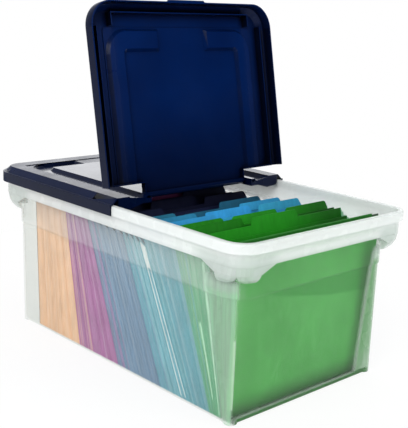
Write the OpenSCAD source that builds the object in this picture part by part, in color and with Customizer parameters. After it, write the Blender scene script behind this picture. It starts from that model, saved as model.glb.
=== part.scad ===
// Portable file box: a translucent moulded bin, a two-part snap lid whose front half
// flips open on stub pins, and the expanding files and hanging folder that it holds.
// Millimetres. Origin at the centre of the bin's underside, +Z up, +Y to the rear.
// The box is drawn with its front lid open, leaning back on its stop.

/* [Lid outline] */
// Outer corner radius of the lid
lid_corner_r = 38; // [32:1:46]
// Wall thickness of the lid
lid_wall = 2.2; // [1.6:0.1:3]
// Depth of the lid's skirt below the ledge
skirt_h = 16; // [12:0.5:20]
// Width of the narrow ledge between skirt and bevel
ledge_w = 3.2; // [2:0.1:5]
// Horizontal run of the bevel
bevel_w = 9.4; // [6:0.1:12]
// Rise of the bevel from the ledge to the top
bevel_h = 8.4; // [6:0.1:12]
// Finger lip on the front skirt: length
finger_lip_l = 74; // [50:1:110]
// Finger lip: how far it stands proud
finger_lip_out = 2.6; // [1.5:0.1:5]

/* [Lid top] */
// Width of the raised border, from the top of the bevel
border_w = 22.4; // [18:0.2:28]
// Width of the raised border at the rounded ends
end_border_w = 25.4; // [20:0.2:30]
// Depth of the centre panel below the border
panel_drop = 1; // [0.4:0.1:2]
// Depth of the L-shaped corner grooves
groove_depth = 6; // [4:0.1:7]
// Width of a groove's floor
groove_floor_w = 23; // [18:0.5:26]
// Width of each sloping flank of a groove
groove_flank_w = 5; // [3:0.1:6]
// Distance of a short groove's end from the centre line
groove_end_x = 52; // [40:1:62]
// Radius of a groove's bend, on its centre line
groove_bend_r = 20; // [18:0.5:26]
// Depth of the locating ribs under the lid
rib_depth = 12; // [6:0.5:16]
// Distance from a lid's end to where its side ribs stop
rib_side_stop = 35; // [30:1:50]
// Distance from a lid's side to where its end rib turns back
rib_end_stop = 42; // [38:1:60]
// Length of the end rib's returns
rib_return = 18; // [10:1:24]

/* [Hinge] */
// Opening angle of the front lid, from closed to its stop
open_angle = 101; // [96:1:104]
// Distance of the hinge axis in front of the middle of the box
hinge_y = -12; // [-14:0.5:-10]
// Depth of the hinge axis below the lid's top
hinge_drop = 6.4; // [6:0.1:7]
// Distance from the hinge axis to where the two halves meet
wing_back = 17.4; // [16:0.1:22]
// Gap between the tongue that carries the pins and the grooves
tongue_in = 8.6; // [8:0.2:20]
// Depth of the aprons beside the tongue, below the lid's top
apron_h = 13; // [11:0.5:15]
// Depth of the rear lid's front wall beside the bin's rim
apron_deep = 19; // [17:0.5:21]
// Width of that deeper part
apron_deep_w = 22; // [16:1:26]
// Radius of the bar along the tongue's edge
bar_r = 4.6; // [4:0.1:5]
// Radius of the stub pins
pin_r = 3; // [2.5:0.1:3.5]
// Length of a stub pin
pin_l = 8; // [6:0.5:9]
// Radial running clearance of a pin in its knuckle
pin_gap = 0.05; // [0.02:0.01:0.1]

/* [Bin] */
// Width of the bin at its underside
bin_w = 302; // [290:1:310]
// Length of the bin at its underside
bin_l = 519; // [500:1:530]
// Slope of the walls, outward travel for each unit of height
draft = 0.05; // [0.045:0.001:0.055]
// Height of the rim's top edge
rim_h = 260.1; // [245:0.1:285]
// Wall thickness of the bin
bin_wall = 2.2; // [1.6:0.1:3]
// Height of the small step in the walls
step_h = 179; // [150:1:190]
// How far the wall above the step stands out
step_out = 1.2; // [0.6:0.1:2]
// Width of the flat ledge between the side walls and the rim's band
side_overhang = 9.5; // [8:0.1:12]
// Width of the ledge between the end walls and the band
end_overhang = 17; // [14:0.1:19]
// Corner radius at the underside
foot_corner_r = 5; // [4:0.5:8]
// Corner radius just under the ledge
wall_corner_r = 41; // [34:0.5:44]
// Depth of the rim's band, from its top edge to the ledge
band_h = 33.7; // [28:0.1:38]
// Depth of the lip at the top of the band
lip_h = 14; // [10:0.5:16]
// How far the lip stands out from the band
lip_out = 5.5; // [4:0.1:7]
// Height of the rounded lug at each bottom corner
lug_h = 20; // [14:1:26]
// Radius of the corner lugs
lug_r = 9.5; // [7:0.5:12]

/* [Corner hoods] */
// Depth of a corner hood below the ledge
hood_drop = 26; // [20:1:32]
// Where a hood starts on the long side, from the middle
hood_start_y = 215; // [195:1:225]
// Where a hood starts on the short side, from the middle
hood_start_x = 109; // [90:1:118]
// Length of a hood's sloping end
hood_ramp = 24; // [18:1:30]
// Drop of a hood's sloping end
hood_ramp_drop = 12; // [8:0.5:14]

/* [Files] */
// Free space between a file and each side wall, at the floor
file_side_gap = 0.4; // [0.3:0.1:4]
// How far the files' back boards stop below the rim
file_clear = 19; // [16:0.5:24]
// Thickness of a file's board
board = 0.9; // [0.6:0.1:1.4]
// Free space between neighbouring files
file_gap = 1.4; // [1:0.1:2.4]
// Height of a tab above its board
tab_h = 11; // [8:1:14]
// How much lower a file's front board is
front_cut = 12; // [8:1:20]
// How far the papers inside are set in from a file's sides
papers_in = 2.5; // [1:0.5:6]
// How far the papers stop below the front board
papers_drop = 8; // [4:1:20]
// Folds along each side of a file
pleats = 3; // [1:1:4]

/* [Hanging folder] */
// How far a rod's hooks reach over the bin's ledge
rod_seat = 3; // [2:0.1:4]
// Gap between a rod and the ledges that its hooks rest on
rod_lift = 9; // [6:0.5:12]
// Height of a rod
rod_h = 8; // [6:0.5:10]
// Thickness of a rod
rod_t = 1.4; // [1:0.1:2]
// Free space between the front rod and the end wall
rod_back = 15.3; // [14:0.1:17]
// Spread of the two rods
rod_spread = 12.5; // [9:0.5:13]
// How much narrower the folded sheet is than the files
sheet_in = 1; // [0.5:0.5:6]
// Height of the sheet's bottom fold above the bin's floor
fold_clear = 1; // [0.5:0.5:10]

/* [Hidden] */
$fn = 72;
eps = 0.01;
FILE_COLOURS = ["orange", "magenta", "navy", "teal", "blue", "green"];

// clearances between pieces
skirt_gap = 0.5;
seat_gap = 0.2;
brink_h = 0.4;
knuckle_gap = 0.6;
floor_gap = 0.3;
swing_gap = 0.2;

// heights
ledge_z = rim_h + seat_gap + lid_wall - 0.6;
lid_top = ledge_z + bevel_h;
skirt_z = ledge_z - skirt_h;
hinge_z = lid_top - hinge_drop;
band_z = rim_h - band_h;
lip_z = rim_h - lip_h;
inside_z = bin_wall + 0.4;

// insets from the lid's outline
skirt_t = lid_wall - 0.2;
lip_in = skirt_t + skirt_gap;
band_in = lip_in + lip_out;
edge_in = ledge_w + bevel_w;
border_in = edge_in + border_w;
rib_in = edge_in + lid_wall;
rib_t = 1.6;

// plan sizes of the bin's wall, and of the lid that its ledge and rim call for
function wall_w(z) = bin_w + 2 * draft * z + (z > step_h ? 2 * step_out : 0);
function wall_l(z) = bin_l + 2 * draft * z + (z > step_h ? 2 * step_out : 0);
lid_w = wall_w(band_z) + 2 * (side_overhang + band_in);
lid_l = wall_l(band_z) + 2 * (end_overhang + band_in);
function wall_r(z) = foot_corner_r + (wall_corner_r - foot_corner_r) * z / band_z;

// where the halves of the lid meet
meet_y = hinge_y - wing_back;
stop_y = hinge_y + bar_r + bin_wall;
tongue_half_w = lid_w / 2 - border_in - groove_floor_w - 2 * groove_flank_w - brink_h - tongue_in;
hang_x = lid_w / 2 - rib_in - 1;
// room for the front half's edge to swing past the rear half's top corner
meet_gap = sqrt(pow(wing_back, 2) + pow(hinge_drop, 2)) - wing_back + swing_gap;

// sizes of the contents
file_w = bin_w - 2 * (bin_wall + file_side_gap);
inside_half_l = bin_l / 2 + draft * (inside_z - bin_wall) - bin_wall;
rod_l = wall_w(band_z) - 2 * bin_wall + 2 * rod_seat;
rear_rod_y = wall_l(band_z) / 2 - bin_wall - rod_back - rod_spread;

function lerp(a, b, t) = a + (b - a) * t;
function arc(cx, cy, r, a0, a1, n = 6) =
    [for (i = [0:n]) let (a = lerp(a0, a1, i / n)) [cx + r * cos(a), cy + r * sin(a)]];

// ---------- shared outlines ----------

// Rounded rectangle, centred
module round_rect(w, l, r) {
    square([w - 2 * r, l], center = true);
    square([w, l - 2 * r], center = true);
    for (x = [-1, 1], y = [-1, 1])
        translate([x * (w / 2 - r), y * (l / 2 - r)])
            circle(r);
}

// Thin slice of a rounded rectangle, used to loft walls
module slice(w, l, r, z, thick = eps) {
    translate([0, 0, z])
        linear_extrude(thick)
            round_rect(w, l, r, $fn = 32);
}

// Points [inset, height] turned into a section whose x runs outward from a corner's centre
function section(pts, r) = [for (p = pts) [r - p[0], p[1]]];

// One quarter of a sweep round the outline w by l: half a long side, a corner, half a short side
module sweep_quarter(pts, w, l, r, y0 = 0) {
    s = section(pts, r);
    translate([w / 2 - r, l / 2 - r, 0])
        rotate_extrude(angle = 90)
            polygon(s);
    translate([w / 2 - r, l / 2 - r, 0])
        rotate([90, 0, 0])
            linear_extrude(l / 2 - r - y0)
                polygon(s);
    translate([0, l / 2 - r, 0])
        rotate([90, 0, 90])
            linear_extrude(w / 2 - r)
                polygon(s);
}

module both_sides() {
    children();
    mirror([1, 0, 0])
        children();
}

module four_corners() {
    both_sides() {
        children();
        mirror([0, 1, 0])
            children();
    }
}

// ---------- bin ----------

// The rim: a flat band, a rolled top and a lip that hangs in front of the band
function rim_section() = let (t = bin_wall, top_r = 3) concat(
    [[band_in + t + 0.2, band_z], [band_in + t + 0.2, rim_h - 1.2]],
    [for (p = arc(band_in + t - 1, rim_h - 1.2, 1.2, 0, 90, 4)) p],
    [for (p = arc(lip_in + top_r, rim_h - top_r, top_r, 90, 180, 6)) p],
    [[lip_in, lip_z], [lip_in + t - 0.2, lip_z]],
    [for (p = arc(lip_in + top_r, rim_h - top_r - 0.4, top_r - t + 0.2, 180, 90, 3)) p],
    [[band_in, rim_h - t], [band_in, band_z]]);

module rim() {
    four_corners()
        sweep_quarter(rim_section(), lid_w, lid_l, lid_corner_r);
}

// Solid inside a surface `inset` within the outer wall
module wall_solid(inset, z0, z1) {
    w0 = inset > 0 ? 0 : 2;
    hull() {
        slice(bin_w - 2 * inset - 2 * w0, bin_l - 2 * inset - 2 * w0, foot_corner_r - inset / 2, z0);
        slice(wall_w(z0 + w0) - 2 * inset, wall_l(z0 + w0) - 2 * inset,
            wall_r(z0 + w0) - inset / 2, z0 + w0);
        slice(wall_w(step_h) - 2 * inset, wall_l(step_h) - 2 * inset, wall_r(step_h) - inset,
            step_h - eps);
    }
    hull() {
        slice(wall_w(step_h + eps) - 2 * inset, wall_l(step_h + eps) - 2 * inset,
            wall_r(step_h) - inset, step_h - step_out);
        slice(wall_w(band_z) - 2 * inset, wall_l(band_z) - 2 * inset, wall_r(band_z) - inset, z1 - eps);
    }
}

// Ring that swells from the wall out to the band, as a quarter ellipse
module hood_ring(inset, top) {
    base_z = band_z - hood_drop;
    out_w = lid_w - 2 * band_in;
    out_l = lid_l - 2 * band_in;
    out_r = lid_corner_r - band_in;
    hull()
        for (a = [0, 25, 45, 65, 90])
            slice(lerp(wall_w(base_z), out_w, cos(a)) - 2 * inset,
                lerp(wall_l(base_z), out_l, cos(a)) - 2 * inset,
                lerp(wall_r(base_z), out_r, cos(a)) - inset / 2,
                band_z - hood_drop * sin(a) + (a > 0 ? inset / 2 : -0.5), a > 0 ? eps : top - band_z + 0.5);
}

// Region of the four hoods, with sloping ends; `inset` moves every face inward
module hood_zone(inset) {
    ramp_in = inset * sqrt(pow(hood_ramp, 2) + pow(hood_ramp_drop, 2)) / hood_ramp_drop;
    x0 = hood_start_x + hood_ramp + inset;
    y0 = hood_start_y + hood_ramp + inset;
    four_corners() {
        translate([x0, 0, 0])
            rotate([90, 0, 90])
                linear_extrude(lid_w / 2 - x0)
                    hood_end(hood_start_y + ramp_in, lid_l / 2);
        translate([0, lid_l / 2, 0])
            rotate([90, 0, 0])
                linear_extrude(lid_l / 2 - y0)
                    hood_end(hood_start_x + ramp_in, lid_w / 2);
    }
}

// Side view of a hood from its sloping end, at `start`, to the corner
module hood_end(start, end) {
    low = band_z - hood_drop - 6;
    high = band_z + bin_wall + 2;
    polygon([[start, high], [start, band_z], [start + hood_ramp, band_z - hood_ramp_drop],
        [start + hood_ramp + 1, low], [end, low], [end, high]]);
}

module lug() {
    translate([bin_w / 2 + 1.5 - lug_r, bin_l / 2 + 1.5 - lug_r, 0])
        cylinder(h = lug_h, r = lug_r);
}

module bin() {
    color([0.9, 0.93, 0.92, 0.5])
        difference() {
            union() {
                intersection() {
                    hood_ring(0.1, band_z + bin_wall - 0.2);
                    hood_zone(0);
                }
                // ledge
                translate([0, 0, band_z + 0.3])
                    linear_extrude(bin_wall - 0.3)
                        round_rect(lid_w - 2 * band_in - 1, lid_l - 2 * band_in - 1,
                            lid_corner_r - band_in - 0.5);
                wall_solid(0, 0, band_z + bin_wall);
                rim();
                four_corners()
                    lug();
            }
            wall_solid(bin_wall, inside_z, band_z + bin_wall + 1);
            // the hoods are hollow, open to the inside below the ledge
            intersection() {
                hood_ring(bin_wall, band_z);
                hood_zone(bin_wall);
            }
        }
}

// ---------- lid ----------

// Skirt, ledge and bevel, as [inset, height]
function lid_section() = let (t = lid_wall, s = skirt_t) concat(
    [[0, skirt_z]],
    arc(0.8, ledge_z - 0.8, 0.8, 180, 90, 3),
    [[ledge_w, ledge_z]],
    arc(edge_in + 0.5, lid_top - 1.5, 1.5, 130, 90, 3),
    [[edge_in + 3, lid_top], [edge_in + 3, lid_top - t]],
    [[edge_in + 0.6, lid_top - t], [ledge_w + s - 0.9, rim_h + seat_gap]],
    [[s, rim_h + seat_gap], [s, skirt_z]]);

// Locating ribs of half a lid's half: one along the side, and one along the end that turns back
module ribs(y0) {
    side_x = lid_w / 2 - rib_in - rib_t;
    end_x = lid_w / 2 - rib_end_stop - rib_t;
    end_y = lid_l / 2 - rib_in - rib_t;
    translate([0, 0, lid_top - lid_wall - rib_depth])
        linear_extrude(rib_depth + eps) {
            translate([side_x, y0])
                square([rib_t, lid_l / 2 - rib_side_stop - y0]);
            translate([0, end_y])
                square([end_x + rib_t, rib_t]);
            translate([end_x, end_y - rib_return])
                square([rib_t, rib_return + rib_t]);
        }
}

// Section of a groove, grown by `grow`, centred on x = 0: sloping flanks, then upright to `top`
function groove_section(grow, top) = let (
    floor_z = lid_top - groove_depth - grow,
    brink_z = lid_top - panel_drop - brink_h - grow / 2,
    half = groove_floor_w / 2 + grow / 2,
    out = half + groove_flank_w) [
    [half, floor_z], [out, brink_z], [out, top], [-out, top], [-out, brink_z], [-half, floor_z]];

// L-shaped groove: along the side to the joint of the halves, round a bend, along the end
module groove(grow, top, y0) {
    gx = lid_w / 2 - border_in - groove_floor_w / 2 - groove_flank_w - brink_h;
    gy = lid_l / 2 - edge_in - end_border_w - groove_floor_w / 2 - groove_flank_w - brink_h;
    end_x = groove_end_x - grow / 2;
    end_brink_x = end_x - groove_flank_w;
    s = groove_section(grow, top);
    r = groove_bend_r;
    translate([gx, gy - r, 0])
        rotate([90, 0, 0])
            linear_extrude(gy - r - y0)
                polygon(s);
    translate([gx - r, gy - r, 0])
        rotate_extrude(angle = 90)
            polygon([for (p = s) [p[0] + r, p[1]]]);
    // the short leg, cut to a square end with its own sloping flank
    intersection() {
        translate([end_brink_x - 1, gy, 0])
            rotate([90, 0, 90])
                linear_extrude(gx - r - end_brink_x + 1)
                    polygon(s);
        translate([0, gy + groove_floor_w, 0])
            rotate([90, 0, 0])
                linear_extrude(2 * groove_floor_w)
                    polygon([[end_x, s[0][1]], [end_brink_x, s[1][1]], [end_brink_x, top],
                        [gx, top], [gx, s[0][1]]]);
    }
}

// Half a lid seen from above, from y0 to its rounded end, `inset` within the outline
module half_outline(inset, y0, end_more = 0) {
    intersection() {
        round_rect(lid_w - 2 * inset, lid_l - 2 * inset - 2 * end_more, lid_corner_r - inset);
        translate([-lid_w / 2, y0])
            square([lid_w, lid_l]);
    }
}

// Half a lid without its hinge, from y0 to the rounded end at +y
module half_lid(y0) {
    difference() {
        union() {
            both_sides() {
                sweep_quarter(lid_section(), lid_w, lid_l, lid_corner_r, y0);
                ribs(y0);
                groove(lid_wall, lid_top - panel_drop - lid_wall / 2, y0);
            }
            translate([0, 0, lid_top - lid_wall])
                linear_extrude(lid_wall)
                    half_outline(edge_in + 2, y0);
            translate([0, 0, lid_top - lid_wall - panel_drop])
                linear_extrude(lid_wall)
                    half_outline(border_in - lid_wall, y0, end_border_w - border_w);
        }
        translate([0, 0, lid_top - panel_drop])
            linear_extrude(panel_drop + 1)
                half_outline(border_in, y0 - 1, end_border_w - border_w);
        both_sides()
            groove(0, lid_top + 1, y0 - 1);
    }
}

// Wall that hangs under an edge of the panel, between two distances from the centre line
module apron(x0, x1, y) {
    translate([x0, y, lid_top - apron_h])
        cube([x1 - x0, skirt_t, apron_h - panel_drop - 0.5]);
}

module rear_lid() {
    deep_x = hang_x - apron_deep_w;
    color([0.03, 0.06, 0.2])
        difference() {
            union() {
                half_lid(meet_y);
                both_sides() {
                    // front apron, deepest beside the bin's rim
                    translate([0, meet_y + skirt_t, 0])
                        rotate([90, 0, 0])
                            linear_extrude(skirt_t)
                                polygon([[tongue_half_w + knuckle_gap, lid_top - groove_depth - 1],
                                    [tongue_half_w + knuckle_gap, lid_top - apron_h],
                                    [deep_x - apron_deep_w, lid_top - apron_h],
                                    [deep_x, lid_top - apron_deep], [hang_x, lid_top - apron_deep + 2],
                                    [hang_x, lid_top - 1.5], [lid_w / 2 - border_in, lid_top - 1.5]]);
                    // side of the recess that the tongue turns in
                    translate([tongue_half_w + knuckle_gap, meet_y, lid_top - apron_h])
                        cube([skirt_t, stop_y - meet_y + skirt_t, apron_h - panel_drop - 0.5]);
                    // knuckle that holds a stub pin
                    translate([tongue_half_w + knuckle_gap, hinge_y, hinge_z])
                        rotate([0, 90, 0])
                            cylinder(h = pin_l + 2, r = hinge_drop - panel_drop - 0.1);
                }
                apron(-tongue_half_w - knuckle_gap, tongue_half_w + knuckle_gap, stop_y);
            }
            // recess for the tongue
            translate([-tongue_half_w - knuckle_gap, meet_y - 1, lid_top - apron_h - 1])
                cube([2 * (tongue_half_w + knuckle_gap), stop_y - meet_y + 1, apron_h + 2]);
            // bores of the knuckles, closed at their outer ends
            both_sides()
                translate([tongue_half_w, hinge_y, hinge_z])
                    rotate([0, 90, 0])
                        cylinder(h = knuckle_gap + pin_l + 0.4, r = pin_r + pin_gap);
            // parting line across the bevel, behind the hinge
            both_sides()
                translate([lid_w / 2, 18.8, 0])
                    rotate([90, 0, 0])
                        linear_extrude(0.8)
                            polygon([[-ledge_w + 0.4, ledge_z - 0.2], [-edge_in + 0.4, lid_top + 0.4],
                                [-edge_in - 0.6, lid_top - 0.4], [-ledge_w - 0.4, ledge_z - 0.8]]);
        }
}

// The front half as it lies when closed
module front_lid_closed() {
    wing_y = -meet_y + meet_gap;
    mirror([0, 1, 0])
        half_lid(wing_y);
    both_sides()
        apron(tongue_half_w - 1, hang_x, -wing_y - skirt_t);
    // tongue, its side webs and the bar along its edge
    translate([-tongue_half_w, -wing_y - eps, lid_top - lid_wall - panel_drop])
        cube([2 * tongue_half_w, hinge_y + wing_y + 3, lid_wall]);
    both_sides()
        translate([tongue_half_w - skirt_t, -wing_y - skirt_t, hinge_z - 3])
            cube([skirt_t, wing_y + hinge_y + skirt_t, hinge_drop + 3 - panel_drop - 0.5]);
    translate([-tongue_half_w, hinge_y, hinge_z])
        rotate([0, 90, 0])
            cylinder(h = 2 * tongue_half_w, r = bar_r);
    translate([-tongue_half_w - pin_l, hinge_y, hinge_z])
        rotate([0, 90, 0])
            cylinder(h = 2 * (tongue_half_w + pin_l), r = pin_r);
    finger_lip();
}

// Thumb lip along the foot of the front skirt, rounded at both ends
module finger_lip() {
    translate([0, -lid_l / 2, skirt_z])
        linear_extrude(2.4)
            intersection() {
                union() {
                    square([finger_lip_l - 2 * finger_lip_out, 2 * finger_lip_out], center = true);
                    for (x = [-1, 1])
                        translate([x * (finger_lip_l / 2 - finger_lip_out), 0])
                            circle(finger_lip_out);
                }
                translate([-finger_lip_l / 2, -finger_lip_out - 1])
                    square([finger_lip_l, finger_lip_out + 1 + skirt_t / 2]);
            }
}

module front_lid() {
    color([0.03, 0.06, 0.2])
        translate([0, hinge_y, hinge_z])
            rotate([-open_angle, 0, 0])
                translate([0, -hinge_y, -hinge_z])
                    front_lid_closed();
}

// ---------- files ----------

// The lines between the rows, from the rear, as shares of the bin's inside half length:
// on the floor, and at lean_z
FLOOR_LINES = [0.828, 0.3615, -0.0388, -0.4352, -0.6645, -0.8394, -0.9288];
LEAN_LINES = [0.8628, 0.5285, 0.307, -0.035, -0.2254, -0.513, -0.7695];
lean_z = 230;

// Each colour: [place from the rear, paint, how much taller its boards are, how many files]
function file_row(colour) =
    colour == "orange" ? [0, [0.95, 0.72, 0.5], 0, 5] :
    colour == "magenta" ? [1, [0.75, 0.35, 0.65], 0, 5] :
    colour == "navy" ? [2, [0.16, 0.18, 0.42], 0, 5] :
    colour == "teal" ? [3, [0.1, 0.45, 0.6], 0, 4] :
    colour == "blue" ? [4, [0.2, 0.62, 0.82], 11, 5] :
    [5, [0.15, 0.55, 0.12], 7, 5];

// Lean of the boundary at fraction t of a row, in degrees from upright
function row_line(lines, row, t) = inside_half_l * lerp(lines[row[0]], lines[row[0] + 1], t);
function row_floor(row, t) = row_line(FLOOR_LINES, row, t);
function row_lean(row, t) = atan((row_line(LEAN_LINES, row, t) - row_floor(row, t)) / (lean_z - inside_z));

// One board standing on the floor line y, leaning back; `tab` is -1, 0 or 1, or 9 for none
module leaning_board(y, lean, h, tab) {
    translate([0, y, inside_z + floor_gap])
        rotate([90 - lean, 0, 0])
            translate([0, 0, -board / 2])
                linear_extrude(board) {
                    translate([-file_w / 2, 0])
                        square([file_w, h]);
                    if (tab < 2)
                        tab_outline(tab, h);
                }
}

// Third-cut tab with sloping ends and rounded corners
module tab_outline(tab, h) {
    w = file_w / 3;
    r = 3;
    translate([tab * w, h]) {
        polygon([[-w / 2, -1], [w / 2, -1], [w / 2 - 4, tab_h - r], [-w / 2 + 4, tab_h - r]]);
        translate([-w / 2 + 4 + r, 0])
            square([w - 8 - 2 * r, tab_h]);
        for (x = [-1, 1])
            translate([x * (w / 2 - 4 - r), tab_h - r])
                circle(r, $fn = 24);
    }
}

// Flat wedge between two leaning lines, from the floor up to height h along the lean
module wedge(y0, lean0, y1, lean1, h, x, thick) {
    z = inside_z + floor_gap;
    translate([x, 0, 0])
        rotate([90, 0, 90])
            linear_extrude(thick)
                polygon([[y0, z], [y0 + h * sin(lean0), z + h * cos(lean0)],
                    [y1 + h * sin(lean1), z + h * cos(lean1)], [y1, z]]);
}

// File full of papers: back board with a tab, lower front board, papers and folded sides
module file(colour, n) {
    row = file_row(colour);
    t0 = (n - 1) / row[3];
    t1 = n / row[3];
    back_y = row_floor(row, t0) - (file_gap + board) / 2;
    front_y = row_floor(row, t1) + (file_gap + board) / 2;
    back_lean = row_lean(row, t0);
    front_lean = row_lean(row, t1);
    h = rim_h - file_clear + row[2];
    papers_h = h - front_cut - papers_drop;
    color(row[1]) {
        leaning_board(back_y, back_lean, h, (n + len(colour)) % 3 - 1);
        leaning_board(front_y, front_lean, h - front_cut, 9);
        wedge(back_y, back_lean, front_y, front_lean, papers_h,
            -file_w / 2 + papers_in, file_w - 2 * papers_in);
        both_sides()
            for (i = [1:pleats]) {
                t = i / (pleats + 1);
                y = lerp(back_y, front_y, t);
                lean = lerp(back_lean, front_lean, t);
                wedge(y + board / 3, lean, y - board / 3, lean, papers_h - 2,
                    file_w / 2 - papers_in - 0.2, papers_in * 0.7);
            }
    }
}

// ---------- hanging folder ----------

rod_z = band_z + bin_wall;

// Flat rod on edge, with a hook at each end that rests on the bin's ledge
module rod(y) {
    body_l = rod_l - 26;
    color([0.08, 0.14, 0.1])
        translate([0, y + rod_t / 2, rod_z])
            rotate([90, 0, 0])
                linear_extrude(rod_t) {
                    translate([-body_l / 2, rod_lift])
                        square([body_l, rod_h]);
                    for (x = [-1, 1]) {
                        translate([x * (rod_l / 2 - 7), rod_lift + rod_h - 2.5])
                            square([14, 5], center = true);
                        translate([x * (rod_l / 2 - 1.5), (rod_lift + rod_h) / 2])
                            square([3, rod_h + rod_lift], center = true);
                    }
                }
}

// Folded sheet that hangs over both rods
module hanging_folder() {
    top = rod_z + rod_lift + rod_h + 0.3;
    low = inside_z + fold_clear;
    rear = -rear_rod_y;
    front = rear - rod_spread;
    fold_y = rear - rod_spread / 2 + 1;
    out = rod_t / 2 + 0.3;
    t = 0.8;
    mid_z = 150;
    color([0.2, 0.55, 0.25])
        rotate([90, 0, 90])
            linear_extrude(file_w - 2 * sheet_in, center = true)
                polygon(concat(
                    [[fold_y, low], [rear + out, mid_z], [rear + out + t, top]],
                    arc(rear, top, out + t, 0, 180, 6),
                    [[rear - out - t, top - rod_h - 3], [rear - out, top - rod_h - 3]],
                    arc(rear, top, out, 180, 0, 6),
                    [[rear + out - t, mid_z], [fold_y, low + t * 3],
                        [front + t, mid_z], [front - out, top]],
                    arc(front, top, out, 180, 0, 6),
                    [[front + out, top - rod_h - 3], [front + out + t, top - rod_h - 3]],
                    arc(front, top, out + t, 0, 180, 6),
                    [[front, mid_z]]));
}

bin();
rear_lid();
front_lid();
for (c = FILE_COLOURS)
    for (n = [1:file_row(c)[3]])
        file(c, n);
hanging_folder();
rod(-rear_rod_y);  // rear_rod
rod(-rear_rod_y - rod_spread);  // front_rod
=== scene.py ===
"""Portable file box: frosted bin, navy snap lid with its front half open, coloured files.

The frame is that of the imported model: origin under the middle of the bin, +Z up, +Y towards
the fixed half of the lid. Lengths are in metres, apart from the files' sheets, which are laid
out in millimetres.
"""
import bpy
import bmesh
import math
import random
from collections import namedtuple
from mathutils import Matrix, Vector


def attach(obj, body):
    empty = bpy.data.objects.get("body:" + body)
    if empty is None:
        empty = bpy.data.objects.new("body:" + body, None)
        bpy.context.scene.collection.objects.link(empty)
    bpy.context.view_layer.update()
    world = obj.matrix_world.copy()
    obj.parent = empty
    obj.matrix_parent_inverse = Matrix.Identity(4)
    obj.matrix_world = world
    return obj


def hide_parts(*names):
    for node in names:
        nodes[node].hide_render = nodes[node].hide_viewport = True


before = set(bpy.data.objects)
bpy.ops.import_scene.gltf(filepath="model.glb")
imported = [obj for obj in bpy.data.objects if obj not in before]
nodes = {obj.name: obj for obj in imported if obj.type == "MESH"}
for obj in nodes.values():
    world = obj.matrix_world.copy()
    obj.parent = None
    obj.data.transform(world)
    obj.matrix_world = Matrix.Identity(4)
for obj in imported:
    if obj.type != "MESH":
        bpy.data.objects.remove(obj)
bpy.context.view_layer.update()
scene = bpy.context.scene
MM = 0.001


# ---------------------------------------------------------------- camera
CAMERA_AT = (-0.9149, -1.0189, 0.5487)
CAMERA_TURN = (42.815, -13.532, 2.025)  # in degrees: heading to the right of +Y, pitch, roll
LENS_MM, SENSOR_MM = 74.215, 36.0


def make_camera():
    """The photograph's viewpoint: left of the front end, a little above the rim."""
    yaw, pitch, roll = (math.radians(angle) for angle in CAMERA_TURN)
    ahead = Vector((math.sin(yaw) * math.cos(pitch), math.cos(yaw) * math.cos(pitch), math.sin(pitch)))
    level = Vector((math.cos(yaw), -math.sin(yaw), 0))
    up = level.cross(ahead)
    right = math.cos(roll) * level + math.sin(roll) * up
    top = -math.sin(roll) * level + math.cos(roll) * up
    data = bpy.data.cameras.new("camera")
    data.sensor_width = SENSOR_MM
    data.lens = LENS_MM
    data.clip_end = 50
    camera = bpy.data.objects.new("camera", data)
    scene.collection.objects.link(camera)
    camera.matrix_world = Matrix((*zip(right, top, -ahead, CAMERA_AT), (0, 0, 0, 1)))
    scene.camera = camera


# ---------------------------------------------------------------- shader trees
def new_material(name):
    """A material, its tree and the Principled shader in it."""
    mat = bpy.data.materials.new(name)
    mat.use_nodes = True
    tree = mat.node_tree
    shader = next(n for n in tree.nodes if n.type == "BSDF_PRINCIPLED")
    return mat, tree, shader


def surface_of(tree):
    """The Surface input of a material's output."""
    return next(n for n in tree.nodes if n.type == "OUTPUT_MATERIAL").inputs["Surface"]


def add(tree, kind, **values):
    """A node of that kind; keywords set its properties, or its inputs where the name is an input's."""
    node = tree.nodes.new(kind)
    for key, value in values.items():
        if key in node.inputs:
            node.inputs[key].default_value = value
        else:
            setattr(node, key, value)
    return node


def feed(tree, value, socket):
    """An input linked to a socket, or set to a number or a colour."""
    if isinstance(value, bpy.types.NodeSocket):
        tree.links.new(value, socket)
    elif isinstance(value, tuple) and len(value) == 3:
        socket.default_value = (*value, 1)
    else:
        socket.default_value = value


def noise(tree, scale, detail=3.0, rough=0.5, stretch=None, turn=None, distort=0.0):
    """Noise on object coordinates, which a scale and a turn about the axes can change first."""
    place = add(tree, "ShaderNodeTexCoord")
    source = place.outputs["Object"]
    if stretch:
        mapping = add(tree, "ShaderNodeMapping", Scale=stretch)
        if turn:
            mapping.inputs["Rotation"].default_value = turn
        tree.links.new(source, mapping.inputs["Vector"])
        source = mapping.outputs["Vector"]
    node = add(tree, "ShaderNodeTexNoise", Scale=scale, Detail=detail, Roughness=rough, Distortion=distort)
    tree.links.new(source, node.inputs["Vector"])
    return node.outputs["Fac"]


def ranged(tree, value, low, high, start=0.3, end=0.7):
    """A value from start to end taken to low to high, and held there beyond them."""
    node = add(tree, "ShaderNodeMapRange")
    for key, number in (("From Min", start), ("From Max", end), ("To Min", low), ("To Max", high)):
        node.inputs[key].default_value = number
    tree.links.new(value, node.inputs["Value"])
    return node.outputs["Result"]


def rising(tree, value, start, end, full=1.0):
    """Nothing before start, full past end."""
    return ranged(tree, value, 0.0, full, start, end)


def falling(tree, value, start, end, full=1.0):
    """Full before start, nothing past end."""
    return ranged(tree, value, full, 0.0, start, end)


def mixed(tree, factor, first, second):
    """Two colours mixed by a factor."""
    node = add(tree, "ShaderNodeMix", data_type="RGBA")
    for index, value in ((0, factor), (6, first), (7, second)):
        feed(tree, value, node.inputs[index])
    return node.outputs[2]


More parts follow.
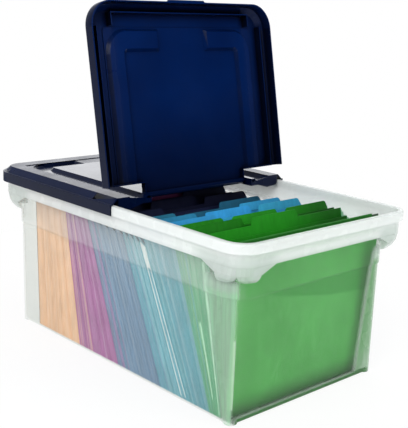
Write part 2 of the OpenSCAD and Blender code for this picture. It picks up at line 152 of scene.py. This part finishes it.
def mixed_shaders(tree, factor, first, second):
    """Two shaders mixed by a factor."""
    node = add(tree, "ShaderNodeMixShader")
    for value, socket in zip((factor, first, second), node.inputs):
        tree.links.new(value, socket)
    return node.outputs[0]


def calc(tree, operation, result, *others):
    """A Math operation on two sockets or numbers, and on its result and the next where there are more."""
    for value in others:
        node = add(tree, "ShaderNodeMath", operation=operation)
        feed(tree, result, node.inputs[0])
        feed(tree, value, node.inputs[1])
        result = node.outputs[0]
    return result


def product(tree, *values):
    return calc(tree, "MULTIPLY", *values)


def largest(tree, *values):
    return calc(tree, "MAXIMUM", *values)


def magnitude(tree, value):
    node = add(tree, "ShaderNodeMath", operation="ABSOLUTE")
    tree.links.new(value, node.inputs[0])
    return node.outputs[0]


def parts_of(tree, output):
    """X, Y and Z of one of Texture Coordinate's outputs."""
    place = add(tree, "ShaderNodeTexCoord")
    split = add(tree, "ShaderNodeSeparateXYZ")
    tree.links.new(place.outputs[output], split.inputs[0])
    return split.outputs["X"], split.outputs["Y"], split.outputs["Z"]


def leaning(tree, value, z, slope):
    """A coordinate measured from a line that leans by slope as it rises."""
    return calc(tree, "SUBTRACT", value, product(tree, z, slope))


def bumped(tree, shader, height, strength, distance):
    """A shader's normal tilted by the slope of a height."""
    node = add(tree, "ShaderNodeBump", Strength=strength, Distance=distance)
    tree.links.new(height, node.inputs["Height"])
    tree.links.new(node.outputs["Normal"], shader.inputs["Normal"])


# ---------------------------------------------------------------- navy lid
NAVY = ((0.0004, 0.0070, 0.047), (0.0008, 0.0105, 0.066))
# painted shade takes the navy towards this colour
NAVY_SHADE = (0.0006, 0.0012, 0.0045)
OUTER_SHADE_SHARE = 0.55  # share of its tone that an outer face shows
HINGE_Z, UPPER_Z = 0.27, 0.41  # the open half's underside, by its hinge and well above it
BORDER_X, BORDER_Y, BORDER_EASE = 0.126, 0.224, 0.008  # where the lid's duller border starts


def navy_plastic():
    """Glossy moulded navy, with painted shade in its channels, towards the open half's hinge, on its outer
    faces and on faces turned sideways; duller at its border, with a slight orange peel and light scuffs."""
    mat, tree, shader = new_material("navy_plastic")
    x, y, z = parts_of(tree, "Object")
    facing_x, facing_y, _ = parts_of(tree, "Normal")
    tone = mixed(tree, ranged(tree, noise(tree, 9), 0, 1), *NAVY)
    # painted shade in channels and recesses, from ambient occlusion
    open_air = add(tree, "ShaderNodeAmbientOcclusion", samples=12, Distance=0.035)
    unoccluded = rising(tree, open_air.outputs["AO"], 0.35, 0.95)
    # painted shade: the open half's underside darker towards its hinge, all outer faces at one darker
    # share, and faces turned sideways darker still
    underside = falling(tree, facing_y, -0.3, -0.1)
    off_hinge = ranged(tree, z, -0.23, 0.45, HINGE_Z, UPPER_Z)
    painted_light_share = calc(tree, "ADD", product(tree, underside, off_hinge), OUTER_SHADE_SHARE)
    sideways_shade = ranged(tree, magnitude(tree, facing_x), 1.0, 0.5, 0.6, 1.0)
    shown = product(tree, unoccluded, painted_light_share, sideways_shade)
    tree.links.new(mixed(tree, shown, NAVY_SHADE, tone), shader.inputs["Base Color"])

    scuffs = rising(tree, noise(tree, 260, 4, 0.6), 0.55, 0.8, full=0.05)
    gloss = calc(tree, "ADD", ranged(tree, noise(tree, 22), 0.10, 0.17), scuffs)
    beside = rising(tree, magnitude(tree, x), BORDER_X, BORDER_X + BORDER_EASE, full=0.16)
    behind = rising(tree, y, BORDER_Y, BORDER_Y + BORDER_EASE, full=0.16)
    tree.links.new(calc(tree, "ADD", gloss, largest(tree, beside, behind)), shader.inputs["Roughness"])
    shader.inputs["Specular IOR Level"].default_value = 0.12
    bumped(tree, shader, noise(tree, 420, 2), 0.06, 0.0004)
    return mat


# ---------------------------------------------------------------- frosted bin
# the bin's wall at the floor, half its width and half its length, and its slope outward
WALL_X, WALL_Y, DRAFT = 0.1522, 0.2607, 0.05
FROST = ((0.82, 0.85, 0.84), (0.87, 0.90, 0.885))
# painted light on the rim and the inside, and painted shade on the hoods by the corners
RIM_PAINTED_LIGHT = (0.95, 0.965, 0.955)
HOOD_PAINTED_SHADE = (0.60, 0.68, 0.63)
# what the papers at the front lend to the wall: their green at the right corner and, with painted light
# scattered from them, at the edges; painted shade along the foot; a painted highlight up the left front
# corner
CORNER_GREEN = (0.15, 0.34, 0.15)
EDGE_GLOW_GREEN = (0.42, 0.74, 0.48)
FOOT_SHADE_GREEN = (0.02, 0.13, 0.02)
HIGHLIGHT_GREEN = (0.62, 0.80, 0.60)
# how opaque each of them makes it
CORNER_MILK, EDGE_MILK, FOOT_SHADE_MILK, HIGHLIGHT_MILK = 0.66, 0.42, 0.85, 0.7
HIGHLIGHT_X = -0.1490  # where the painted highlight runs up the left front corner
PAPERS_LEAN = 0.178  # slope of the papers' front edge
CORNER_LEAN = 0.06


def paper_marks(tree, x, y, z, far_x, turned_y):
    """Marks at the front of the bin: papers at the right corner, papers with painted light at the edge of
    both sides, painted shade at the foot, and a painted highlight line.
    """
    near_front = falling(tree, y, -0.262, -0.246)
    below_hood = falling(tree, z, 0.195, 0.215)
    in_corner = rising(tree, leaning(tree, x, z, CORNER_LEAN), 0.104, 0.116)
    corner = product(tree, near_front, in_corner, below_hood, rising(tree, turned_y, 0.55, 0.85))

    # the edge of both sides: papers seen through, with painted light scattered from them
    before_papers = falling(tree, leaning(tree, y, z, PAPERS_LEAN), -0.250, -0.236)
    uneven = ranged(tree, noise(tree, 110, 2, 0.6, (1, 1, 0.04)), 0.65, 1.15)
    edge = product(tree, before_papers, rising(tree, far_x, 0.146, 0.150), below_hood, uneven)

    # painted shade along the foot of the front
    foot = product(tree, falling(tree, z, 0.0060, 0.0100), falling(tree, y, -0.240, -0.225),
                   falling(tree, far_x, 0.142, 0.148))

    # a painted highlight line up the left front corner
    off_highlight = magnitude(tree, calc(tree, "ADD", x, -HIGHLIGHT_X))
    line = product(tree, falling(tree, off_highlight, 0.0008, 0.0022, full=HIGHLIGHT_MILK), near_front,
                   rising(tree, z, 0.018, 0.024), falling(tree, z, 0.118, 0.126))
    return corner, edge, foot, line


def wall_milk(tree, z, far_x, far_y, turned_x, turned_y):
    """Milkiness of the wall's sides, and of its corners, hoods and rim."""
    sides = product(tree, rising(tree, turned_x, 0.35, 0.9), ranged(tree, z, 0.045, 0.145, 0.1785, 0.1800))
    rounded = rising(tree, product(tree, turned_x, turned_y), 0.10, 0.45, full=0.30)
    rounded = product(tree, rounded, ranged(tree, turned_y, 1.0, 0.1, 0.45, 0.70))
    past_x = calc(tree, "SUBTRACT", leaning(tree, far_x, z, DRAFT), WALL_X)
    past_y = calc(tree, "SUBTRACT", leaning(tree, far_y, z, DRAFT), WALL_Y)
    proud = rising(tree, largest(tree, past_x, past_y), 0.0008, 0.0030, full=0.5)
    hood = product(tree, proud, rising(tree, z, 0.190, 0.197))
    rim = ranged(tree, z, 0.045, 0.56, 0.222, 0.228)
    return sides, largest(tree, hood, rim, rounded)


def frosted_plastic():
    """Frosted polypropylene: see-through where paper presses on it, milkier at its sides and corners,
    and nearly white at the hoods and the rim. The papers' green shows at the front, with painted light
    at its edges, painted shade at its foot and a painted highlight up the left front corner; the rim
    and the inside are painted lighter, the hoods greyer with painted shade."""
    mat, tree, shader = new_material("frosted_plastic")
    x, y, z = parts_of(tree, "Object")
    facing_x, facing_y, _ = parts_of(tree, "Normal")
    far_x, far_y = magnitude(tree, x), magnitude(tree, y)
    turned_x, turned_y = magnitude(tree, facing_x), magnitude(tree, facing_y)
    corner, edge, foot, line = paper_marks(tree, x, y, z, far_x, turned_y)

    painted = mixed(tree, ranged(tree, noise(tree, 7), 0, 1), *FROST)
    greens = (CORNER_GREEN, EDGE_GLOW_GREEN, FOOT_SHADE_GREEN, HIGHLIGHT_GREEN)
    for mark, green in zip((corner, edge, foot, line), greens):
        painted = mixed(tree, mark, painted, green)
    # painted light: the rim and the inside lighter; painted shade: the hoods by the corners greyer
    painted = mixed(tree, rising(tree, z, 0.224, 0.232, full=0.8), painted, RIM_PAINTED_LIGHT)
    hood_shade = product(tree, rising(tree, z, 0.183, 0.190, full=0.6), falling(tree, z, 0.236, 0.244),
                     rising(tree, far_x, 0.100, 0.120), rising(tree, far_y, 0.195, 0.215))
    tree.links.new(mixed(tree, hood_shade, painted, HOOD_PAINTED_SHADE), shader.inputs["Base Color"])
    tree.links.new(ranged(tree, noise(tree, 30), 0.20, 0.32), shader.inputs["Roughness"])
    bumped(tree, shader, noise(tree, 260, 2), 0.03, 0.0004)

    sides, thick = wall_milk(tree, z, far_x, far_y, turned_x, turned_y)
    strips = largest(tree, product(tree, corner, CORNER_MILK), line, product(tree, edge, EDGE_MILK),
                     product(tree, foot, FOOT_SHADE_MILK))
    milk = calc(tree, "ADD", sides, largest(tree, thick, strips))
    clear = add(tree, "ShaderNodeBsdfTransparent", Color=(0.94, 0.95, 0.94, 1))
    through = add(tree, "ShaderNodeBsdfTranslucent", Color=(0.86, 0.88, 0.87, 1))
    glow = ranged(tree, largest(tree, corner, foot), 0.3, 0.03, 0, 1)
    haze = mixed_shaders(tree, glow, shader.outputs[0], through.outputs[0])
    tree.links.new(mixed_shaders(tree, milk, clear.outputs[0], haze), surface_of(tree))
    return mat


# ---------------------------------------------------------------- cards and rods
FOLDER = ((0.040, 0.300, 0.038), (0.062, 0.375, 0.060))
FOLDER_CREASE = (0.115, 0.47, 0.11)
FOLDER_STEP_SHADOW = (0.018, 0.25, 0.020)
FOLDER_SHADED = (0.008, 0.10, 0.008)
STEEL = ((0.004, 0.022, 0.006), (0.008, 0.035, 0.010))


def card(name):
    """Coloured card: each vertex's own tint under fibres and a slight mottle."""
    mat, tree, shader = new_material(name)
    tint = add(tree, "ShaderNodeAttribute", attribute_name="tint").outputs["Color"]
    fibres = noise(tree, 160, 5, 0.6, (1, 1, 0.15))
    cloud = noise(tree, 26)
    shade = product(tree, ranged(tree, fibres, 0.90, 1.06, 0.35, 0.65), ranged(tree, cloud, 0.92, 1.06))
    toned = add(tree, "ShaderNodeVectorMath", operation="SCALE")
    tree.links.new(tint, toned.inputs[0])
    tree.links.new(shade, toned.inputs["Scale"])
    tree.links.new(toned.outputs[0], shader.inputs["Base Color"])
    tree.links.new(ranged(tree, noise(tree, 40), 0.45, 0.62), shader.inputs["Roughness"])
    shader.inputs["Specular IOR Level"].default_value = 0.15
    bumped(tree, shader, noise(tree, 900, 4), 0.08, 0.0003)
    return mat


def folder_card():
    """The hanging folder: soft slanting mottle, with a painted shadow under the bin's front step and
    painted shade at its foot and by its rods.
    """
    mat, tree, shader = new_material("hanging_card")
    x, _, z = parts_of(tree, "Object")
    slant = {"stretch": (1, 1, 0.45), "turn": (0, math.radians(38), 0)}
    cloud = noise(tree, 22, distort=0.6, **slant)
    crease = noise(tree, 75, 2, 0.6, distort=1.8, **slant)
    base = mixed(tree, ranged(tree, cloud, 0, 1), *FOLDER)
    base = mixed(tree, rising(tree, crease, 0.50, 0.62, full=0.22), base, FOLDER_CREASE)
    # a painted shadow under the bin's front step: its top edge is level, and its lower edge falls away to
    # the right
    steep = calc(tree, "SUBTRACT", 0.1514, product(tree, x, 0.19))
    shallow = calc(tree, "SUBTRACT", 0.1474, product(tree, x, 0.09))
    above = calc(tree, "SUBTRACT", z, largest(tree, steep, shallow))
    # share of the painted step shadow on the folder
    sheet = product(tree, rising(tree, above, -0.002, 0.002), falling(tree, z, 0.1715, 0.1730),
                    rising(tree, x, -0.10, -0.06), 0.8)
    step_shadowed = mixed(tree, sheet, base, FOLDER_STEP_SHADOW)
    # shaded at its foot and by its rods
    at_foot = falling(tree, z, 0.004, 0.032, full=0.8)
    shaded = largest(tree, at_foot, rising(tree, z, 0.232, 0.237, full=0.8))
    tree.links.new(mixed(tree, shaded, step_shadowed, FOLDER_SHADED), shader.inputs["Base Color"])
    tree.links.new(ranged(tree, noise(tree, 40), 0.45, 0.6), shader.inputs["Roughness"])
    shader.inputs["Specular IOR Level"].default_value = 0.2
    bumped(tree, shader, noise(tree, 90, 2), 0.02, 0.0004)
    return mat


def painted_steel():
    """Dark green satin paint on the folder's flat rods."""
    mat, tree, shader = new_material("painted_steel")
    tone = mixed(tree, ranged(tree, noise(tree, 60), 0, 1), *STEEL)
    tree.links.new(tone, shader.inputs["Base Color"])
    tree.links.new(ranged(tree, noise(tree, 120), 0.28, 0.4), shader.inputs["Roughness"])
    bumped(tree, shader, noise(tree, 800, 3), 0.1, 0.0003)
    return mat


# ---------------------------------------------------------------- files, in millimetres
# y of the row's back and front at the files' feet, and at LEAN_Z; height of the boards; files in it
Row = namedtuple("Row", "foot_back foot_front lean_back lean_front height count")
ROWS = {
    "orange": Row(213, 93, 222, 136, 241, 5),
    "magenta": Row(93, -10, 136, 79, 241, 5),
    "navy": Row(-10, -112, 79, -9, 241, 5),
    "teal": Row(-112, -171, -9, -58, 241, 4),
    "blue": Row(-171, -216, -58, -132, 252, 5),
    "green": Row(-216, -239, -132, -198, 248, 5),
}
LEAN_Z = 230.0
FLOOR_Z, FLOOR_LIFT = 2.9, 0.3  # height of the sheets' feet, and how far that is above the bin's floor
CARD = {  # colour of the folds at the sides, and of the boards' faces; the faces, seen from above in the lids' shadow, are darker partly in their own colour and partly as painted shade
    "orange": ((0.95, 0.59, 0.36), (0.80, 0.36, 0.14)),
    "magenta": ((0.49, 0.135, 0.405), (0.11, 0.02, 0.085)),
    "navy": ((0.148, 0.28, 0.454), (0.006, 0.008, 0.032)),
    "teal": ((0.125, 0.454, 0.552), (0.010, 0.11, 0.20)),
    "blue": ((0.09, 0.355, 0.42), (0.02, 0.22, 0.40)),
    "green": ((0.085, 0.405, 0.19), (0.012, 0.20, 0.008)),
}
WHITE_PAPER = (0.92, 0.95, 0.93)
PALE_GREEN = (0.50, 0.80, 0.56)
DARK_EDGE = (0.10, 0.10, 0.08)
RIGHT_SHADE = {"green": 0.6, "blue": 0.3, "teal": 0.3}  # how much darker the boards are at the right
SHADE_X, SHADE_RUN = 10, 110  # where that starts, and how far it takes to be full
FILE_HALF_W = 148.4
BOARD = 0.9  # room for a board; its plate is a little thinner
PLATE = BOARD * 0.8
BOW = 0.25  # how far the boards swell out of their planes
GAP = 1.4  # between two files' boards
EDGE_STRIP = 1.5  # a board's edge, in which its tone goes from its face's to its edge's
FRONT_CUT = 12.0  # how much lower the front board is
TAB_H, TAB_SHOULDER = 11.0, 1.5  # the tab's height, and its rounding's
TAB_SLOPE, TAB_FLAT = 4, 7  # how far in from its ends its rounding starts and stops
PLY, PLY_PITCH = 0.6, 2.6
PLY_INSET, PLY_CUT = 4.5, 8  # how much narrower and lower the plies are
FOLD_PITCH, FOLD_REACH = 1.5, 0.9  # a side fold's width, and how far the folds reach past the boards
FOLD_INSETS = (0.6, 0.25, 0.6)  # from the side to a fold's crease, crest and crease
STRIP_HALF, STRIP_INSETS = 0.7, (0.9, 0.05)
# folds that show bright through the side: file, [place across it and height, from foot to top]
BRIGHT_FOLDS = {
    "teal_file_4": [[(0.12, 4), (0.16, 196)], [(0.88, 4), (0.84, 196)]],
    "green_file_3": [[(0.80, 22), (0.05, 128)]],
    "green_file_5": [[(0.22, 4), (0.22, 214)]],
}
# outline of the turned-over white corner at the top of the first two: place across and height
TURNED_CORNER = ((0.12, 192), (0.90, 192), (1.05, 212), (1.04, 225), (-0.02, 229), (0.0, 212))


def mix(a, b, t):
    return a + (b - a) * t


def held(value):
    """A share kept from 0 to 1."""
    return max(0, min(1, value))


def blend_colour(a, b, t):
    return tuple(mix(p, q, t) for p, q in zip(a, b))


class Sheets:
    """Collects thin plates and folds, each vertex with its own tint, into one mesh."""

    def __init__(self):
        self.mesh = bmesh.new()
        self.tint = self.mesh.verts.layers.float_color.new("tint")

    def vert(self, x, y, z, colour):
        v = self.mesh.verts.new((x * MM, y * MM, z * MM))
        v[self.tint] = (*colour, 1)
        return v

    def plate(self, outline, columns, place, thick, paint):
        """A plate from its outline of (x, h): the bottom edge, then the top edge back.

        place(x, h) gives (y, z), and paint(x) the colour."""
        front, back = [], []
        for x, h in outline:
            y, z = place(x, h)
            front.append(self.vert(x, y - thick / 2, z, paint(x)))
            back.append(self.vert(x, y + thick / 2, z, paint(x)))
        n = len(outline)
        for i in range(n):
            j = (i + 1) % n
            self.mesh.faces.new((front[i], front[j], back[j], back[i]))
        for i in range(columns):
            a, b, c, d = i, i + 1, n - 2 - i, n - 1 - i
            self.mesh.faces.new((front[d], front[c], front[b], front[a]))
            self.mesh.faces.new((back[a], back[b], back[c], back[d]))

    def prism(self, rings):
        """A closed prism through rings of vertices, from its foot to its top."""
        n = len(rings[0])
        for low, high in zip(rings, rings[1:]):
            for i in range(n):
                j = (i + 1) % n
                self.mesh.faces.new((low[i], low[j], high[j], high[i]))
        self.mesh.faces.new(list(reversed(rings[0])))
        self.mesh.faces.new(rings[-1])

    def object(self, name, material):
        """The finished object, with its faces turned outward."""
        bmesh.ops.recalc_face_normals(self.mesh, faces=self.mesh.faces)
        data = bpy.data.meshes.new(name)
        self.mesh.to_mesh(data)
        self.mesh.free()
        data.materials.append(material)
        obj = bpy.data.objects.new(name, data)
        scene.collection.objects.link(obj)
        return obj


def board_outline(h, tab, half_w=FILE_HALF_W, columns=24):
    """Bottom edge left to right, then the top edge back, with a third-cut tab at -1, 0 or 1."""
    xs = [mix(-half_w, half_w, i / columns) for i in range(columns + 1)]
    xs[1:1], xs[-1:-1] = [-half_w + EDGE_STRIP], [half_w - EDGE_STRIP]
    third = 2 * half_w / 3
    if tab is not None:
        centre = tab * third
        runs = (0, TAB_SLOPE / 2, TAB_SLOPE, TAB_FLAT)
        marks = [centre + side * (third / 2 - run) for side in (-1, 1) for run in runs]
        marks = [max(-half_w, min(half_w, m)) for m in marks]
        xs = sorted(set([x for x in xs if all(abs(x - m) > 1.2 for m in marks)] + marks))

    def top(x):
        if tab is None:
            return h
        d = third / 2 - abs(x - tab * third)
        if d <= 0:
            return h
        if d < TAB_SLOPE:
            return h + (TAB_H - TAB_SHOULDER) * d / TAB_SLOPE
        return h + TAB_H - TAB_SHOULDER * max(0, (TAB_FLAT - d) / (TAB_FLAT - TAB_SLOPE)) ** 2

    outline = [(x, 0.0) for x in xs] + [(x, top(x)) for x in reversed(xs)]
    return outline, len(xs) - 1


def side_ring(sheets, place_at, side, points):
    """Vertices by one side of a file, from places across it, heights, insets and tones."""
    ring = []
    for t, h, inset, tone in points:
        x = side * (FILE_HALF_W - inset)
        y, z = place_at(t)(x, h)
        ring.append(sheets.vert(x, y, z, tone))
    return ring


def side_folds(sheets, rand, colour, n, place_at, width, height):
    """The narrow upright folds along both sides of a file, each in its own tone."""
    names = list(ROWS)
    own, face = CARD[colour]
    before = CARD[names[max(0, names.index(colour) - 1)]][0]
    count = max(6, int(width / FOLD_PITCH))
    reach = FOLD_REACH / width
    for side in (-1, 1):
        marks = [0.0]
        for _ in range(count):
            marks.append(marks[-1] + rand.uniform(0.5, 1.5))
        for k in range(count):
            t = [mix(marks[k], marks[k + 1], part) / marks[-1] for part in (0, 0.5, 1)]
            t = [mix(-reach, 1 + reach, v) for v in t]
            # some folds at a row's back take after the row behind
            along_row = (n - 1 + t[1]) / ROWS[colour].count
            tone = blend_colour(own, face, rand.uniform(0, 0.28))
            tone = blend_colour(tone, WHITE_PAPER, rand.uniform(0, 0.3) ** 2 * 2)
            if rand.random() < 0.5 - along_row:
                tone = blend_colour(tone, before, 0.5)
            # painted shade: a fold's creases a little darker than its crest
            crease_shade = tuple(0.95 * c for c in tone)
            high = height - 2 - FRONT_CUT * held(t[1]) - rand.uniform(0, 1.5)
            rings = []
            for h, white in ((0.0, 0), (high / 2, 0), (high, 0.12)):
                points = [(part, h, inset, blend_colour(lit, WHITE_PAPER, white))
                          for part, inset, lit in zip(t, FOLD_INSETS, (crease_shade, tone, crease_shade))]
                ring = side_ring(sheets, place_at, side, points)
                rings.append(ring if side < 0 else ring[::-1])
            sheets.prism(rings)


def bright_fold(sheets, place_at, width, ends, tone):
    """A pale strip on edge at both sides of a file."""
    half = STRIP_HALF / width
    deep, shallow = STRIP_INSETS
    for side in (-1, 1):
        rings = []
        for t, h in ends:
            corners = ((t - half, deep), (t - half, shallow), (t + half, shallow), (t + half, deep))
            ring = side_ring(sheets, place_at, side, [(part, h, inset, tone) for part, inset in corners])
            rings.append(ring if side < 0 else ring[::-1])
        sheets.prism(rings)


def turned_corner(sheets, place_at):
    """The turned-over white corner at both sides of a file."""
    for side in (-1, 1):
        rings = [[(t, h, inset, WHITE_PAPER) for t, h in TURNED_CORNER] for inset in (0.6, 0.05)]
        sheets.prism([side_ring(sheets, place_at, side, points) for points in rings])


def make_file(colour, n, material, seed):
    """One expanding file: two boards, the plies between them and folded sides."""
    rand = random.Random(seed)
    row = ROWS[colour]
    name = f"{colour}_file_{n}"
    own, face = CARD[colour]

    def foot_and_lean(t):
        """y of the foot and lean of a sheet at a place along the row."""
        foot = mix(row.foot_back, row.foot_front, t)
        run = mix(row.lean_back, row.lean_front, t) - foot
        return foot, math.atan(run / (LEAN_Z - FLOOR_Z + FLOOR_LIFT))

    back_y, back_lean = foot_and_lean((n - 1) / row.count)
    front_y, front_lean = foot_and_lean(n / row.count)
    back_y -= (GAP + BOARD) / 2
    front_y += (GAP + BOARD) / 2
    low = row.height - FRONT_CUT

    def place_at(t, bow=0.0):
        """What gives (y, z) on the sheet at a place across the file, from its back to its front."""
        foot, lean = mix(back_y, front_y, t), mix(back_lean, front_lean, t)

        def place(x, h):
            swell = bow * (1 - (x / FILE_HALF_W) ** 2) * math.sin(math.pi * min(1, h / row.height))
            return foot + h * math.sin(lean) + swell, FLOOR_Z + h * math.cos(lean)
        return place

    def painted(face_tone, edge_tone):
        """What gives a board's colour from x."""
        def paint(x):
            if abs(x) > FILE_HALF_W - EDGE_STRIP / 2:
                return edge_tone
            fade = 1 - RIGHT_SHADE.get(colour, 0) * held((x - SHADE_X) / SHADE_RUN)
            return tuple(fade * c for c in face_tone)
        return paint

    sheets = Sheets()
    bright = rand.uniform(0.7, 1.4)
    tab_tone = tuple(c * bright * rand.uniform(0.95, 1.1) for c in face)
    back_edge = DARK_EDGE if name == "orange_file_1" else own
    sheets.plate(*board_outline(row.height, (n + len(colour)) % 3 - 1), place_at(0, BOW), PLATE,
                 painted(tab_tone, back_edge))
    sheets.plate(*board_outline(low, None), place_at(1, -BOW), PLATE, painted(face, own))
    width = back_y - front_y
    plies = max(3, int(width / PLY_PITCH))
    for k in range(plies):
        half_w = FILE_HALF_W - PLY_INSET - rand.uniform(0, 2.5)
        tone = blend_colour(face, own, rand.uniform(0, 0.5))
        outline = board_outline(low - PLY_CUT - rand.uniform(0, 9), None, half_w, 8)
        place = place_at((k + 0.8) / (plies + 0.6), rand.uniform(-0.3, 0.3))
        sheets.plate(*outline, place, PLY, lambda x: tone)
    side_folds(sheets, rand, colour, n, place_at, width, row.height)
    for ends in BRIGHT_FOLDS.get(name, []):
        bright_fold(sheets, place_at, width, ends, WHITE_PAPER if colour == "teal" else PALE_GREEN)
    if name == "teal_file_4":
        turned_corner(sheets, place_at)
    # folded floor between the boards
    half_w = FILE_HALF_W - 4
    corners = ((-half_w, back_y), (half_w, back_y), (half_w, front_y), (-half_w, front_y))
    sheets.prism([[sheets.vert(x, y, z, face) for x, y in corners] for z in (FLOOR_Z, FLOOR_Z + 0.7)])
    obj = sheets.object(name + "_card", material)
    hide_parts(name)
    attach(obj, "bin")
    return obj


# ---------------------------------------------------------------- CAD nodes
LID_EASE, ROD_EASE = 0.0007, 0.0003
EASED_ANGLE = math.radians(35)


def dress(node, material, edge=0.0):
    """A CAD node with its material, and its sharp edges eased by a modifier."""
    obj = nodes[node]
    obj.data.materials.clear()
    obj.data.materials.append(material)
    if edge:
        weld = obj.modifiers.new("weld", "WELD")
        weld.merge_threshold = 0.00001
        bevel = obj.modifiers.new("ease", "BEVEL")
        bevel.width = edge
        bevel.segments = 2
        bevel.limit_method = "ANGLE"
        bevel.angle_limit = EASED_ANGLE
        bevel.use_clamp_overlap = True
        bevel.harden_normals = False
    return obj


# ---------------------------------------------------------------- stage and light
WHITE = (1, 1, 1, 1)
DARK_ROOM, LIGHT_ROOM = (0.012, 0.016, 0.028), (0.60, 0.62, 0.65)
FLOOR_HALF, FLOOR_DROP = 6.0, 0.0004


def sight(tree, seen, rest, share=1.0):
    """`seen` for a share of the rays from the camera and through glass, else `rest`.

    Comes with the Light Path node that tells them apart."""
    path = add(tree, "ShaderNodeLightPath")
    clear = largest(tree, path.outputs["Is Camera Ray"], path.outputs["Is Transmission Ray"])
    return path, mixed_shaders(tree, product(tree, clear, share), rest, seen)


def make_world():
    """White to look at, soft white for diffuse light, and a dark room in front for reflections."""
    world = bpy.data.worlds.new("studio")
    scene.world = world
    world.use_nodes = True
    tree = world.node_tree
    tree.nodes.clear()
    out = add(tree, "ShaderNodeOutputWorld")
    white = add(tree, "ShaderNodeBackground", Color=WHITE, Strength=1.0)
    soft = add(tree, "ShaderNodeBackground", Color=(0.96, 0.98, 1.0, 1), Strength=0.85)
    room = add(tree, "ShaderNodeBackground")
    _, towards_back, _ = parts_of(tree, "Generated")
    behind = rising(tree, towards_back, -0.15, 0.45)
    tree.links.new(mixed(tree, behind, DARK_ROOM, LIGHT_ROOM), room.inputs["Color"])
    path, shown = sight(tree, white.outputs[0], soft.outputs[0])
    glossy = path.outputs["Is Glossy Ray"]
    tree.links.new(mixed_shaders(tree, glossy, shown, room.outputs[0]), out.inputs["Surface"])


def make_floor():
    """A pale floor that looks white, less so under the box, where its shadow shows."""
    data = bpy.data.meshes.new("floor")
    s = FLOOR_HALF
    data.from_pydata([(-s, -s, 0), (s, -s, 0), (s, s, 0), (-s, s, 0)], [], [(0, 1, 2, 3)])
    floor = bpy.data.objects.new("floor", data)
    floor.location.z = -FLOOR_DROP
    scene.collection.objects.link(floor)
    mat, tree, shader = new_material("studio_floor")
    shader.inputs["Base Color"].default_value = (0.9, 0.9, 0.9, 1)
    shader.inputs["Roughness"].default_value = 0.9
    shader.inputs["Specular IOR Level"].default_value = 0.1
    white = add(tree, "ShaderNodeEmission", Color=WHITE, Strength=1.0)
    place = add(tree, "ShaderNodeTexCoord")
    reach = add(tree, "ShaderNodeVectorMath", operation="LENGTH")
    tree.links.new(place.outputs["Object"], reach.inputs[0])
    share = ranged(tree, reach.outputs["Value"], 0.86, 1.0, 0.3, 0.8)
    _, shown = sight(tree, white.outputs[0], shader.outputs[0], share)
    tree.links.new(shown, surface_of(tree))
    data.materials.append(mat)


def area_light(name, place, aim, size, watts):
    """A rectangular lamp turned to what it lights, and out of the camera's sight."""
    data = bpy.data.lights.new(name, "AREA")
    data.shape = "RECTANGLE"
    data.size, data.size_y = size
    data.energy = watts
    lamp = bpy.data.objects.new(name, data)
    lamp.location = place
    lamp.rotation_mode = "QUATERNION"
    lamp.rotation_quaternion = (Vector(aim) - Vector(place)).to_track_quat("-Z", "Y")
    lamp.visible_camera = False
    scene.collection.objects.link(lamp)
    return lamp


def make_lights():
    """A key lamp on the left, a fill on the right that isn't mirrored, and a card behind."""
    area_light("key", (-2.2, -1.1, 1.9), (0, 0, 0.15), (1.6, 1.6), 46)
    fill = area_light("fill", (1.2, -2.3, 1.2), (0, 0, 0.2), (1.6, 1.6), 22)
    fill.visible_glossy = False
    area_light("back_card", (1.9, 2.4, 0.95), (0, 0.1, 0.27), (3.2, 0.9), 17)


# ---------------------------------------------------------------- build
make_camera()
navy = navy_plastic()
steel = painted_steel()
dress("bin", frosted_plastic())
dress("rear_lid", navy, LID_EASE)
dress("front_lid", navy, LID_EASE)
dress("rear_rod", steel, ROD_EASE)
dress("front_rod", steel, ROD_EASE)
dress("hanging_folder", folder_card())
serial = 0
for colour, row in ROWS.items():
    material = card(colour + "_card")
    for n in range(1, row.count + 1):
        serial += 1
        make_file(colour, n, material, serial)
make_world()
make_floor()
make_lights()
scene.view_settings.view_transform = "Standard"
